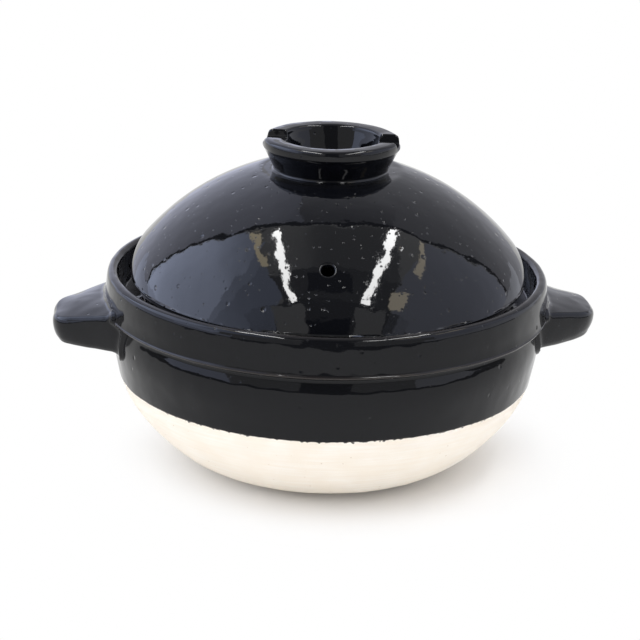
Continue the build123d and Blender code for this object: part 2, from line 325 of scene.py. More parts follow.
def bowl_finish():
    """Glaze over stoneware. Fired cream clay is matt and open, with iron specks and the
    fine lines of the turning tool. The glaze ends in a crisp line with tiny runs."""
    material, tree = new_material("black_glaze_over_bare_stoneware")
    place, glaze_normal = glaze_surface(tree, pinholes=0.16, blisters=0.10)
    level = put(tree, "ShaderNodeAttribute", attribute_name="above_glaze_line").outputs["Fac"]
    runs = put(tree, "ShaderNodeTexNoise", {"Vector": place, "Scale": 1 / (RUNS_APART * MM),
               "Detail": 1.0})
    hang = put(tree, "ShaderNodeMapRange", {"Value": runs.outputs["Fac"], "From Min": 0.48,
               "From Max": 0.72, "To Min": 0.0, "To Max": RUN_LENGTH})
    edge = put(tree, "ShaderNodeMath", {0: level, 1: hang.outputs["Result"]}, operation="ADD")
    glazed = put(tree, "ShaderNodeMapRange", {"Value": edge.outputs["Value"],
                 "From Min": -EDGE_HALF, "From Max": EDGE_HALF}).outputs["Result"]

    # The ridge and the lip are painted brownish grey: partly thinned glaze, partly a painted
    # highlight
    thin_and_highlight = put(tree, "ShaderNodeAttribute", attribute_name="thin_glaze_and_highlight")
    black = put(tree, "ShaderNodeMix", {"Factor": thin_and_highlight.outputs["Fac"],
                "A": paint(GLAZE_BLACK), "B": paint(GLAZE_THIN_AND_HIGHLIGHT)}, data_type="RGBA")

    # Squeezed in height, so that the noise draws level lines round the pot
    lines = put(tree, "ShaderNodeMapping", {"Vector": place, "Scale": (1, 1, 22)})
    turning = put(tree, "ShaderNodeTexNoise", {"Vector": lines.outputs["Vector"],
                  "Scale": 1 / (TURNING_LINES * MM), "Detail": 3.0})
    cloud = put(tree, "ShaderNodeTexNoise", {"Vector": place, "Scale": 1 / (CLOUDS * MM),
                "Detail": 3.0})
    shade = put(tree, "ShaderNodeMath", {0: turning.outputs["Fac"], 1: cloud.outputs["Fac"]},
                operation="MULTIPLY")
    patches = put(tree, "ShaderNodeMapRange", {"Value": shade.outputs["Value"],
                  "From Min": 0.16, "From Max": 0.42})
    clay = put(tree, "ShaderNodeMix", {"Factor": patches.outputs["Result"],
               "A": paint(CLAY_SHADE), "B": paint(CLAY_CREAM)}, data_type="RGBA")
    iron = put(tree, "ShaderNodeTexVoronoi", {"Vector": place, "Scale": 1 / (IRON_SPECKS * MM)})
    size = put(tree, "ShaderNodeSeparateColor", {"Color": iron.outputs["Color"]})
    reach = put(tree, "ShaderNodeMapRange", {"Value": size.outputs["Red"],
                "From Min": 1 - SPECK_SHARE, "From Max": 1.0,
                "To Min": 0.0, "To Max": SPECK_LARGEST})
    speck = put(tree, "ShaderNodeMath", {0: iron.outputs["Distance"],
                1: reach.outputs["Result"]}, operation="LESS_THAN")
    faint = put(tree, "ShaderNodeMath", {0: speck.outputs["Value"], 1: SPECK_STRENGTH},
                operation="MULTIPLY")
    speckled = put(tree, "ShaderNodeMix", {"Factor": faint.outputs["Value"],
                   "A": clay.outputs["Result"], "B": paint(CLAY_SPECK)}, data_type="RGBA")
    grain = put(tree, "ShaderNodeTexNoise", {"Vector": place, "Scale": 1 / (GRAIN * MM),
                "Detail": 2.0})
    rough_clay = put(tree, "ShaderNodeBump", {"Height": grain.outputs["Fac"],
                     "Distance": GRAIN_DEPTH * MM, "Strength": 1.0})
    turned_clay = put(tree, "ShaderNodeBump", {"Height": turning.outputs["Fac"],
                      "Distance": LINES_DEPTH * MM, "Strength": 1.0,
                      "Normal": rough_clay.outputs["Normal"]})

    colour = put(tree, "ShaderNodeMix", {"Factor": glazed, "A": speckled.outputs["Result"],
                 "B": black.outputs["Result"]}, data_type="RGBA")
    rough = put(tree, "ShaderNodeMapRange", {"Value": glazed, "To Min": 0.85, "To Max": 0.05})
    normal = put(tree, "ShaderNodeMix", {"Factor": glazed,
                 "A": turned_clay.outputs["Normal"], "B": glaze_normal}, data_type="VECTOR")
    body = put(tree, "ShaderNodeBsdfPrincipled", {
        "Base Color": colour.outputs["Result"], "Roughness": rough.outputs["Result"],
        "IOR": 1.5, "Specular IOR Level": 0.27, "Normal": normal.outputs["Result"]})
    put(tree, "ShaderNodeOutputMaterial", {"Surface": body.outputs["BSDF"]})
    return material


pot_bowl = keep("pot_bowl_glazed", bowl, bowl_finish())
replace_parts(pot_bowl, "pot_bowl")
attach(pot_bowl, "pot")


# Lugs: flattened tongues of clay, luted to the band and to the wall under the ridge and
# smoothed on to them by hand, then glazed with the pot. The clay is drawn out to the wall
# in a small cove at the root. The two are not quite alike, as each is shaped by hand.

# Each half of a plan runs from inside the wall to the tip. The heights of top and bottom
# and the rounding of the lower edge are given at the wall and at the tip.
LEFT_LUG = {
    "back": [(98, 32.2), (104, 30.4), (109, 28.5), (114, 26.2), (119, 23.5), (124, 20.2),
             (128.5, 17.6), (133.8, 14.4), (136.5, 8.0), (136.9, 0)],
    "front": [(98, 33.6), (104, 31.2), (110, 28.6), (116, 25.6), (123, 22.2), (128.5, 19.5),
              (133.2, 16.6), (135.9, 12.4), (136.9, 7.0), (136.9, 0)],
    "top": (83.0, 77.9), "bottom": (63.8, 64.6), "low_round": (3.0, 3.4), "low_cove": 4.0}
RIGHT_LUG = {
    "back": [(98, 34.4), (104, 31.8), (109, 29.0), (114, 26.2), (120, 22.4), (126, 18.4),
             (131.0, 16.4), (135.4, 12.8), (137.0, 7.0), (137.2, 0)],
    "front": [(98, 34.4), (104, 31.6), (110, 28.6), (116, 25.6), (122, 22.6), (127, 20.0),
              (131.4, 17.0), (134.8, 12.6), (136.7, 6.8), (137.1, 0)],
    "top": (83.0, 78.9), "bottom": (64.4, 65.4), "low_round": (3.4, 5.5), "low_cove": 2.6}
LUG_START, LUG_REACH = 110.0, 137.0
LUG_TOP_ROUND, LUG_CROWN = 1.9, 1.5
# The side is widest a quarter of the way down, and leans in from there to both its edges
LUG_WIDEST, LUG_LEAN, LUG_TOP_LEAN = 0.25, 1.7, 0.35
COVE = 3.2
# The columns at the root lie at these distances from the axis, close together where they
# cross the wall. Past them the lug's middle line runs on more slowly than its edge.
ROOT_END, MIDDLE_RUNS_ON = 116.0, 8.0
ROOT_RADII = np.arange(104.4, ROOT_END, 0.34)
TIP_COLUMNS = 31
WALL_HEIGHTS = [60, 64, 68, 71.5, 74.2, 76.4, 78.6, 80.4, 84, 90, 94]
WALL_RADII = [106.9, 107.4, 107.7, 107.4, 107.0, 106.8, 108.3, 110.9, 110.95, 110.7, 110.2]


def wall_radius(z):
    """The outside of the bowl at a height: the wall, the ridge, and the band over it."""
    return np.interp(z, WALL_HEIGHTS, WALL_RADII)


def coved(off, size):
    """How far clay stands out of the lug's face, this far off the wall."""
    short = size - min(size, max(0.0, off))
    return size - math.sqrt(size * size - short * short)


def half_edge(points, across):
    """One side of a lug's plan from the wall to the tip, finely divided near the wall."""
    fine = np.array(flowing([(x, across * y) for x, y in points], (1, -0.35 * across),
                            (0, -across), 0.1))
    off = np.linalg.norm(fine, axis=1)
    run = np.concatenate([[0], np.cumsum(np.linalg.norm(np.diff(fine, axis=0), axis=1))])
    near_wall = len(off) * 3 // 4
    places = [np.interp(r, off[:near_wall], run[:near_wall]) for r in ROOT_RADII]
    places += list(np.linspace(places[-1], run[-1], TIP_COLUMNS)[1:])

    def at(s):
        """The edge at a length along it."""
        return np.array([np.interp(s, run, fine[:, k]) for k in (0, 1)])

    return [(at(s), unit(at(s + 0.2) - at(s - 0.2))) for s in places]


def lug(name, side, shape):
    """One lug: rows run from the middle of its top over the edge to the middle below."""
    mesh = bmesh.new()
    halves = []
    for across in (1, -1):
        edge = half_edge(shape["back" if across > 0 else "front"], across)
        columns = []
        for i, (point, along) in enumerate(edge):
            inward = np.array([along[1], -along[0]]) * across
            if i == len(edge) - 1:
                inward = np.array([-1.0, 0.0])
            past_root = i - (len(ROOT_RADII) - 1)
            lag = max(0.0, past_root / (len(edge) - len(ROOT_RADII)))
            middle = ROOT_RADII[i] if past_root <= 0 else ROOT_END
            middle += MIDDLE_RUNS_ON * (1 - (1 - lag) ** 2)

            def between(inset, s):
                """A point of the way from the middle to the edge, kept at its distance out."""
                end = point + inward * inset
                far, angle = np.linalg.norm(end), math.atan2(end[1], end[0])
                r = middle + (far - middle) * s
                return np.array([r * math.cos(angle * s), r * math.sin(angle * s)])

            def level(place, ends):
                """The height of the lug's top or bottom at a place along it."""
                fall = (place[0] - LUG_START) / (LUG_REACH - LUG_START)
                return ends[0] + (ends[1] - ends[0]) * fall

            top, bottom = level(point, shape["top"]), level(point, shape["bottom"])
            near, far = shape["low_round"]
            beyond = max(0.0, (point[0] - ROOT_END) / (LUG_REACH - ROOT_END))
            low_round = near + (far - near) * beyond
            rows = []
            for s in np.linspace(0, 1, 16)[:-1]:
                place = between(LUG_TOP_ROUND, s)
                z = level(place, shape["top"]) * (1 - s * s) + top * s * s
                rows.append((place, z + LUG_CROWN * (1 - s * s), (0, 1)))
            for a in np.linspace(0, math.pi / 2, 8):
                rows.append((point + inward * LUG_TOP_ROUND * (1 - math.sin(a)),
                             top - LUG_TOP_ROUND * (1 - math.cos(a)), (math.sin(a), math.cos(a))))
            high, low = top - LUG_TOP_ROUND, bottom + low_round
            for t in np.linspace(0, 1, 14)[1:-1]:
                rows.append((point, high + (low - high) * t, (1, 0)))
            for a in np.linspace(math.pi / 2, math.pi, 9):
                rows.append((point + inward * low_round * (1 - math.sin(a)),
                             bottom + low_round * (1 + math.cos(a)), (math.sin(a), math.cos(a))))
            for s in np.linspace(1, 0, 12)[1:]:
                place = between(low_round, s)
                z = level(place, shape["bottom"]) * (1 - s * s) + bottom * s * s
                rows.append((place, z, (0, -1)))
            column = []
            for place, z, (out, up) in rows:
                place = np.array(place, float)
                down = (high - z) / (high - low)
                lean = LUG_LEAN * max(0.0, down - LUG_WIDEST) ** 2
                lean += LUG_TOP_LEAN * max(0.0, 1 - down / LUG_WIDEST) ** 2
                place = place + inward * out * min(lean, LUG_LEAN)
                size = COVE + (shape["low_cove"] - COVE) * max(0.0, -up)
                spread = coved(math.hypot(*place) - wall_radius(z), size)
                place = place - inward * out * spread
                column.append(mesh.verts.new((side * place[0] * MM, place[1] * MM,
                                              (z + up * spread) * MM)))
            columns.append(column)
        halves.append(columns)
    around = halves[0] + halves[1][-2::-1]
    for one, two in zip(around, around[1:]):
        for k in range(len(one) - 1):
            mesh.faces.new((one[k], two[k], two[k + 1], one[k + 1]))
    bmesh.ops.remove_doubles(mesh, verts=mesh.verts, dist=0.01 * MM)
    closed = bmesh.ops.holes_fill(mesh, edges=[e for e in mesh.edges if e.is_boundary])
    bmesh.ops.triangulate(mesh, faces=closed["faces"])
    bmesh.ops.recalc_face_normals(mesh, faces=mesh.faces)
    mesh.normal_update()
    hand_made(mesh, [(0.4, 16, side * 2.3), (0.12, 6, side * 5.9)])
    # No edge of a lug is painted lighter, neither for thinned glaze nor as a painted highlight
    mesh.verts.layers.float.new("thin_glaze_and_highlight")  # nowhere thin, so it stays at nought
    piece = keep(name, mesh, lug_glaze)
    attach(piece, "pot")
    return piece


lug_glaze = black_glaze("black_iron_glaze_on_lugs", pinholes=0.08, blisters=0.06)
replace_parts(lug("left_lug_glazed", -1, LEFT_LUG), "left_lug")
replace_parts(lug("right_lug_glazed", 1, RIGHT_LUG), "right_lug")


# Lid dome: thrown as a bowl, turned over and glazed all over but for the ring that sits
# on the pot's ledge. One steam hole is drilled square to the dome before glazing, so the
# glaze rounds its mouth.

LID_RADIUS, ARRIS_HEIGHT = 98.8, 96.0
DOME_RADIUS, DOME_CENTRE = 122.05, 33.15
CROWN_HEIGHT, CROWN_EDGE = 149.9, 37.0
LID_THICKNESS, UNDER_CROWN = 6.0, 143.9
SHOULDER_ANGLE, SHOULDER_ROUND, SHOULDER_STEEPEST = 49.5, 22.0, 10.0
SHOULDER_START = 92.3
BARE_RING_TOP, BARE_RING_INNER = 86.5, 86.0
HOLE_FROM_AXIS, HOLE_RADIUS = 82.4, 3.1
# How the loose lid stands in the rim: turned by so many degrees, and off centre
LID_TURN = -6.1
LID_OFF_CENTRE = 0.5
LID_DENTS = [(0.12, 26, 1.7), (0.03, 8, 4.2)]
LID_SEGMENTS = 480


def on_dome(radius, angle):
    """A point of the dome's section, at an angle in degrees from the axis."""
    return np.array([radius * math.sin(math.radians(angle)),
                     DOME_CENTRE + radius * math.cos(math.radians(angle))])


hole_angle = math.degrees(math.asin(HOLE_FROM_AXIS / DOME_RADIUS))
crown_angle = math.degrees(math.asin(CROWN_EDGE / DOME_RADIUS))
# One ring of the dome runs through the middle of the steam hole
meridian = [*np.linspace(crown_angle, hole_angle, 50),
            *np.linspace(hole_angle, SHOULDER_ANGLE, 15)[1:]]
outer = [on_dome(DOME_RADIUS, a) for a in meridian]
inner = [on_dome(DOME_RADIUS - LID_THICKNESS, a) for a in meridian[::-1]]
shoulder_centre = on_dome(DOME_RADIUS - SHOULDER_ROUND, SHOULDER_ANGLE)
shoulder = arc(shoulder_centre, SHOULDER_ROUND, 90 - SHOULDER_ANGLE, SHOULDER_STEEPEST, 16)
shoulder += [shoulder[-1] + (np.array([LID_RADIUS, ARRIS_HEIGHT]) - shoulder[-1]) * t
             for t in (0.25, 0.5, 0.75, 0.93)]
lid_line = outline(
    [(x, CROWN_HEIGHT) for x in (0, 8, 16, 24)],
    flowing([(29, CROWN_HEIGHT), (33.4, 149.75), outer[0]], (1, 0), unit(outer[1] - outer[0])),
    outer,
    shoulder,
    eased(shoulder[-1], (LID_RADIUS, ARRIS_HEIGHT), (96.4, 92.0), 0.5, 6),
    flowing([(98.5, 95.5), (96.0, 91.6), (93.2, 87.0)], (-0.6, -1), (-0.4, -1)),
    eased((93.2, 87.0), (92.6, LEDGE_HEIGHT), (90, LEDGE_HEIGHT), 1.0),
    [(90.5, LEDGE_HEIGHT), (89, LEDGE_HEIGHT)],
    eased((89, LEDGE_HEIGHT), (87, LEDGE_HEIGHT), (87.3, 90), 1.0),
    flowing([(87.1, 86), (88.2, 94.5), (87.2, 103.5), inner[0]], (0.1, 1),
            unit(inner[1] - inner[0]), 1.6),
    inner,
    flowing([inner[-1], (26, 144.3), (14, UNDER_CROWN)], unit(inner[-1] - inner[-2]), (-1, 0), 3),
    [(7, UNDER_CROWN), (0, UNDER_CROWN)],
)
hole_turn = math.radians(-90 + LID_TURN)
lid, lid_rings = turned(lid_line, LID_SEGMENTS, ["bare_ring", "glaze_fill"], hole_turn)


def hole_row(radius):
    """Which ring of the lid passes through the middle of the steam hole."""
    target = on_dome(radius, hole_angle)
    return min(range(len(lid_line)), key=lambda i: np.linalg.norm(lid_line[i] - target))


# The steam hole: a square patch of the dome's faces, so many to each side of its middle,
# gives way to rings that lead into the hole, round its mouth and out on the inside
PATCH = 6
MOUTH_ROUND = 0.9
RINGS_OUTSIDE, RING_INSIDE, BORE_START = (5.0, 4.5, 4.15), 4.7, 1.6
hole_axis = Vector((math.cos(hole_turn) * math.sin(math.radians(hole_angle)),
                    math.sin(hole_turn) * math.sin(math.radians(hole_angle)),
                    math.cos(math.radians(hole_angle))))
side_way = Vector((-math.sin(hole_turn), math.cos(hole_turn), 0))
down_way = hole_axis.cross(side_way)
centre = Vector((0, 0, DOME_CENTRE * MM))


def patch_edge(row):
    """The points round the square patch about the hole, in order, and the ones inside."""
    def point(i, j):
        """The lid's point so many rings down and columns round from the hole's middle."""
        return lid_rings[row + i][j % LID_SEGMENTS]

    there, back = range(-PATCH, PATCH), range(PATCH, -PATCH, -1)
    edge = ([point(-PATCH, j) for j in there] + [point(i, PATCH) for i in there]
            + [point(PATCH, j) for j in back] + [point(i, -PATCH) for i in back])
    return edge, [point(i, j) for i in there[1:] for j in there[1:]]


def hole_ring(edge, radius, depth):
    """A ring round the hole's axis, one point for each point of the patch's edge."""
    ring = []
    for v in edge:
        way = v.co - centre
        a = math.atan2(way.dot(down_way), way.dot(side_way))
        out = (side_way * math.cos(a) + down_way * math.sin(a)) * radius * MM
        ring.append(lid.verts.new(centre + hole_axis * depth * MM + out))
    return ring


def height_on(radius, away):
    """How far along the hole's axis a sphere about the dome's centre lies, off the axis."""
    return math.sqrt(radius ** 2 - away ** 2)


def apart(v, w):
    """How far apart two points of the lid lie as seen from the dome's centre."""
    return ((v.co - centre).normalized() - (w.co - centre).normalized()).length


outer_edge, outer_inside = patch_edge(hole_row(DOME_RADIUS))
inner_edge, inner_inside = patch_edge(hole_row(DOME_RADIUS - LID_THICKNESS))
# The inner edge is put in the outer one's order, from the point under its first point
start = min(range(len(inner_edge)), key=lambda i: apart(inner_edge[i], outer_edge[0]))
inner_edge = inner_edge[start:] + inner_edge[:start]
if apart(inner_edge[1], outer_edge[1]) > apart(inner_edge[-1], outer_edge[1]):
    inner_edge = [inner_edge[0]] + inner_edge[:0:-1]
bmesh.ops.delete(lid, geom=outer_inside + inner_inside, context="VERTS")
mouth = HOLE_RADIUS + MOUTH_ROUND
bottom_of_hole = height_on(DOME_RADIUS - LID_THICKNESS, mouth)
rings = [outer_edge]
for away in RINGS_OUTSIDE:
    rings.append(hole_ring(outer_edge, away, height_on(DOME_RADIUS, away)))
for a in np.linspace(0, math.pi / 2, 7)[1:]:
    rings.append(hole_ring(outer_edge, mouth - MOUTH_ROUND * math.sin(a),
                           height_on(DOME_RADIUS, mouth) - MOUTH_ROUND * (1 - math.cos(a))))
for depth in np.linspace(DOME_RADIUS - BORE_START, bottom_of_hole + MOUTH_ROUND, 5):
    rings.append(hole_ring(outer_edge, HOLE_RADIUS, depth))
for a in np.linspace(0, math.pi / 2, 5)[1:]:
    rings.append(hole_ring(outer_edge, mouth - MOUTH_ROUND * math.cos(a),
                           bottom_of_hole + MOUTH_ROUND * (1 - math.sin(a))))
rings.append(hole_ring(outer_edge, RING_INSIDE,
                       height_on(DOME_RADIUS - LID_THICKNESS, RING_INSIDE)))
rings.append(inner_edge)
for one, two in zip(rings, rings[1:]):
    for k in range(len(one)):
        n = (k + 1) % len(one)
        lid.faces.new((one[k], one[n], two[n], two[k]))
bmesh.ops.recalc_face_normals(lid, faces=lid.faces)
lid.normal_update()
hand_made(lid, LID_DENTS)


def lid_finish():
    """The same black glaze, thicker on the dome, where steam and gas left open pinholes
    and small craters. The ring that sits on the ledge is wiped down to the bare clay."""
    material, tree = new_material("black_iron_glaze_on_lid")
    _, normal = glaze_surface(tree, pinholes=0.45, blisters=0.36)
    bare = put(tree, "ShaderNodeAttribute", attribute_name="bare_ring").outputs["Fac"]
    colour = put(tree, "ShaderNodeMix", {"Factor": bare, "A": paint(GLAZE_BLACK),
                 "B": paint(CLAY_CREAM)}, data_type="RGBA")
    rough = put(tree, "ShaderNodeMapRange", {"Value": bare, "To Min": 0.04, "To Max": 0.85})
    glaze = put(tree, "ShaderNodeBsdfPrincipled", {
        "Base Color": colour.outputs["Result"], "Roughness": rough.outputs["Result"],
        "IOR": 1.5, "Specular IOR Level": 0.32, "Normal": normal})
    put(tree, "ShaderNodeOutputMaterial", {"Surface": glaze.outputs["BSDF"]})
    return material


bare_ring = lid.verts.layers.float["bare_ring"]
for v in lid.verts:
    low, far_out = v.co.z / MM < BARE_RING_TOP, v.co.xy.length / MM > BARE_RING_INNER
    v[bare_ring] = 1.0 if low and far_out else 0.0
# The glaze runs down over the shoulder and fills it, so the shoulder mirrors like a
# surface that tilts on from the dome, to face up by this angle at its lower edge
FILLED_TILT = 32.5
SHOULDER_TOP = on_dome(DOME_RADIUS, SHOULDER_ANGLE)[1]
glaze_fill = lid.verts.layers.float["glaze_fill"]
for (r, z), ring in zip(lid_line, lid_rings):
    if r > SHOULDER_START and ARRIS_HEIGHT < z < SHOULDER_TOP:
        for v in ring:
            v[glaze_fill] = (SHOULDER_TOP - z) / (SHOULDER_TOP - ARRIS_HEIGHT)
bmesh.ops.translate(lid, verts=lid.verts, vec=(LID_OFF_CENTRE * MM, 0, 0))
lid_dome = keep("lid_dome_glazed", lid, lid_finish())
fill = lid_dome.data.attributes["glaze_fill"].data
facing = []
for v in lid_dome.data.vertices:
    down = fill[v.index].value
    if down > 0:
        tilt = 90 - SHOULDER_ANGLE
        tilt = math.radians(tilt + (FILLED_TILT - tilt) * down)
        away = v.normal.xy.normalized() * math.cos(tilt)
        facing.append((away.x, away.y, math.sin(tilt)))
    else:
        facing.append(tuple(v.normal))
lid_dome.data.normals_split_custom_set_from_vertices(facing)
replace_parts(lid_dome, "lid_dome")
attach(lid_dome, "lid")


# Lid knob: a flared ring of clay luted to the crown, with two notches cut across its lip
# to rest a ladle. It serves as a foot when the lid is turned over, and its hollow is
# glazed like the rest.

KNOB_TOP = 166.3
NOTCH_HALF, NOTCH_DEPTH, NOTCH_ROUND = 9.0, 4.4, 2.2
# Degrees by which the line through the notches is turned from square to the steam hole
NOTCH_TURN = -4.7
# Columns of the mesh cross the notches at these offsets, closest at the notches' walls.
# From NOTCH_SIDE on they run round the ring, evenly at EVEN_AT from the axis.
NOTCH_SIDE, EVEN_AT, FREE_COLUMNS = 11.0, 29.5, 116
CROSSING = [0, 1.8, 3.6, 5.2, 6.3, 6.9, 7.4, 7.8, 8.2, 8.5, 8.8, 9.2, 9.6, 10.2, NOTCH_SIDE]
KNOB_DENTS = [(0.3, 15, 6.4), (0.06, 5, 2.9)]

knob_line = outline(
    flowing([(30.1, 149.5), (28.9, 150.0), (28.5, 151.2)], (-1, 0.1), (0.3, 1), 0.4),
    flowing([(28.5, 151.2), (30.8, 156.0), (33.1, 160.7)], (0.45, 1), (0.5, 1), 0.9),
    eased((32.9, 160.3), (33.7, 161.4), (33.85, 163.2), 0.5),
    flowing([(33.75, 162.0), (33.85, 163.0), (33.8, 164.1)], (0.05, 1), (-0.05, 1), 0.5),
    arc((31.6, 164.1), 2.2, 0, 90, 9),
    flowing([(31.6, KNOB_TOP), (29.2, 166.35), (26.7, 166.2)], (-1, 0), (-1, -0.1), 0.6),
    arc((26.6, 164.2), 2.0, 92, 165, 8),
    flowing([(24.6, 164.2), (23.0, 159.4), (21.3, 154.2), (19.2, 151.0), (16.5, 149.6)],
            (-0.3, -1), (-1, -0.2), 0.9),
)

knob = bmesh.new()
even_start = math.asin(NOTCH_SIDE / EVEN_AT)
columns = []
for half_turn in (0, math.pi):
    columns += [(half_turn, -offset, None) for offset in CROSSING[:0:-1]]
    columns += [(half_turn, offset, None) for offset in CROSSING]
    columns += [(half_turn, None, angle) for angle in
                np.linspace(even_start, math.pi - even_start, FREE_COLUMNS + 2)[1:-1]]
notch_way = hole_turn + math.pi / 2 + math.radians(NOTCH_TURN)
knob_rings = []
for x, z in knob_line:
    ring = []
    for half_turn, offset, angle in columns:
        if angle is None:
            angle = math.asin(offset / x)
            cut = min(1.0, max(0.0, (NOTCH_HALF - abs(offset)) / NOTCH_ROUND))
            floor = KNOB_TOP - NOTCH_DEPTH * (1 - (1 - cut) ** 2) ** 0.5
        else:
            slide = math.asin(NOTCH_SIDE / x) - even_start
            angle += slide * math.cos(angle) / math.cos(even_start)
            floor = math.inf
        a = notch_way + half_turn + angle
        height = min(z, floor)
        ring.append(knob.verts.new((x * math.cos(a) * MM, x * math.sin(a) * MM, height * MM)))
    knob_rings.append(ring)
for low, high in zip(knob_rings, knob_rings[1:]):
    for j in range(len(columns)):
        k = (j + 1) % len(columns)
        knob.faces.new((low[j], low[k], high[k], high[j]))
for end in (knob_rings[0], knob_rings[-1]):
    knob.faces.new(end)
bmesh.ops.recalc_face_normals(knob, faces=knob.faces)
knob.normal_update()
hand_made(knob, KNOB_DENTS)
# No edge of the knob is painted lighter, neither for thinned glaze nor as a painted highlight
knob.verts.layers.float.new("thin_glaze_and_highlight")  # nowhere thin here either
bmesh.ops.translate(knob, verts=knob.verts, vec=(LID_OFF_CENTRE * MM, 0, 0))
knob_glaze = black_glaze("black_iron_glaze_on_knob", pinholes=0.12, blisters=0.08)
lid_knob = keep("lid_knob_glazed", knob, knob_glaze)
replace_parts(lid_knob, "lid_knob")
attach(lid_knob, "lid")


# Table: a plain white sheet. Near the pot it takes light and the pot's soft shadow, and
# further out it runs into the white background.

TABLE_WHITE = "#f4f3f1"
TABLE_HALF = 1200
UNDER_FOOT = 0.05
# The middle of the pot's shadow, and how far from it the sheet starts and ends to fade
SHADOW_MIDDLE, FADE_START, FADE_END = (12, 0, 0), 60, 125


def seen_rays(tree):
    """One for rays from the camera, off mirrors and through glass, and nought for light."""
    rays = put(tree, "ShaderNodeLightPath")
    seen = put(tree, "ShaderNodeMath", {0: rays.outputs["Is Camera Ray"],
               1: rays.outputs["Is Glossy Ray"]}, operation="MAXIMUM")
    seen = put(tree, "ShaderNodeMath", {0: seen.outputs["Value"],
               1: rays.outputs["Is Transmission Ray"]}, operation="MAXIMUM")
    return seen.outputs["Value"]


def paper_sheet():
    """Matt white paper, which takes the soft shadow and shows no edge further out."""
    material, tree = new_material("white_paper_sheet")
    place = put(tree, "ShaderNodeTexCoord").outputs["Object"]
    away = put(tree, "ShaderNodeVectorMath", {0: place, 1: Vector(SHADOW_MIDDLE) * MM},
               operation="DISTANCE")
    fade = put(tree, "ShaderNodeMapRange", {"Value": away.outputs["Value"],
               "From Min": FADE_START * MM, "From Max": FADE_END * MM},
               interpolation_type="SMOOTHSTEP")
    white_out = put(tree, "ShaderNodeMath", {0: seen_rays(tree), 1: fade.outputs["Result"]},
                    operation="MULTIPLY")
    paper = put(tree, "ShaderNodeBsdfDiffuse", {"Color": paint(TABLE_WHITE)})
    white = put(tree, "ShaderNodeEmission", {"Color": paint("#ffffff"), "Strength": 1.0})
    mixed = put(tree, "ShaderNodeMixShader", {0: white_out.outputs["Value"],
                1: paper.outputs["BSDF"], 2: white.outputs["Emission"]})
    put(tree, "ShaderNodeOutputMaterial", {"Surface": mixed.outputs["Shader"]})
    return material


sheet = bmesh.new()
bmesh.ops.create_grid(sheet, x_segments=24, y_segments=24, size=TABLE_HALF * MM)
bmesh.ops.translate(sheet, verts=sheet.verts, vec=(0, 0, -UNDER_FOOT * MM))
keep("table_sheet", sheet, paper_sheet())


# Light: an even pale room with soft roof and window light, and two long tubes overhead.
# The glaze mirrors what stands round the table: a white backdrop behind, the window wall
# on the left, a dark ceiling over the middle and a dimmer room on the right.

# The studio is turned by so many degrees, to face the camera
STUDIO_TURN = -6.07
# Height of the ceiling, in metres, over the table and over the lid, which mirrors it
CEILING, ABOVE_POT = 1.7, 1.55
BACKDROP_LEFT, BACKDROP_RIGHT = "#e6eaff", "#f4f5ff"
WINDOW, ROOM_RIGHT = "#d3defc", "#e6ebff"
TUBE_ON_WALL = "#fff3dc"

studio = bpy.data.objects.new("studio", None)
studio.rotation_euler.z = math.radians(STUDIO_TURN)
bpy.context.scene.collection.objects.link(studio)


def lamp(name, place, aim, size, radiance):
    """A flat lamp at a place in metres, turned to a point, of even radiance over its size.
    Mirrors don't show it, so what the glaze mirrors can have a shape of its own."""
    data = bpy.data.lights.new(name, "AREA")
    data.shape = "RECTANGLE"
    data.size, data.size_y = size
    data.energy = radiance * math.pi * size[0] * size[1]
    light = bpy.data.objects.new(name, data)
    light.location = place
    light.rotation_euler = (Vector(aim) - Vector(place)).to_track_quat("-Z", "Y").to_euler()
    light.parent = studio
    light.visible_glossy = False
    bpy.context.scene.collection.objects.link(light)
    return light


def board(name, corners, radiance, colour="#ffffff", brighter=None):
    """A dim board that shows only in reflections. Brighter gives the way, in metres from
    the studio's middle, along which it grows from its first radiance to a second one."""
    mesh = bmesh.new()
    mesh.faces.new([mesh.verts.new(c) for c in corners])
    material, tree = new_material(name)
    dim = put(tree, "ShaderNodeEmission", {"Color": paint(colour), "Strength": radiance})
    if brighter:
        axis, start, end, radiance_there = brighter
        place = put(tree, "ShaderNodeTexCoord").outputs["Object"]
        parts = put(tree, "ShaderNodeSeparateXYZ", {"Vector": place})
        grown = put(tree, "ShaderNodeMapRange", {"Value": parts.outputs[axis], "From Min": start,
                    "From Max": end, "To Min": radiance, "To Max": radiance_there},
                    interpolation_type="SMOOTHSTEP")
        tree.links.new(grown.outputs["Result"], dim.inputs["Strength"])
    put(tree, "ShaderNodeOutputMaterial", {"Surface": dim.outputs["Emission"]})
    piece = keep(name, mesh, material)
    piece.parent = studio
    piece.visible_camera = piece.visible_diffuse = piece.visible_shadow = False
    piece.visible_transmission = False


def upright(name, start, end, low, high, radiance, colour="#ffffff"):
    """An upright board between two places on the floor and two heights, in metres."""
    board(name, [(*start, low), (*end, low), (*end, high), (*start, high)], radiance, colour)


def overhead(name, plan, radiance, colour="#ffffff", brighter=None, drop=0.0):
    """A board under the ceiling. Its plan is given as tangents of the angles seen from
    the pot, sideways and back. It hangs lower by the drop, in front of the others."""
    corners = [(x * ABOVE_POT, y * ABOVE_POT, CEILING - drop) for x, y in plan]
    if brighter:
        axis, start, end, radiance_there = brighter
        brighter = axis, start * ABOVE_POT, end * ABOVE_POT, radiance_there
    board(name, corners, radiance, colour, brighter)


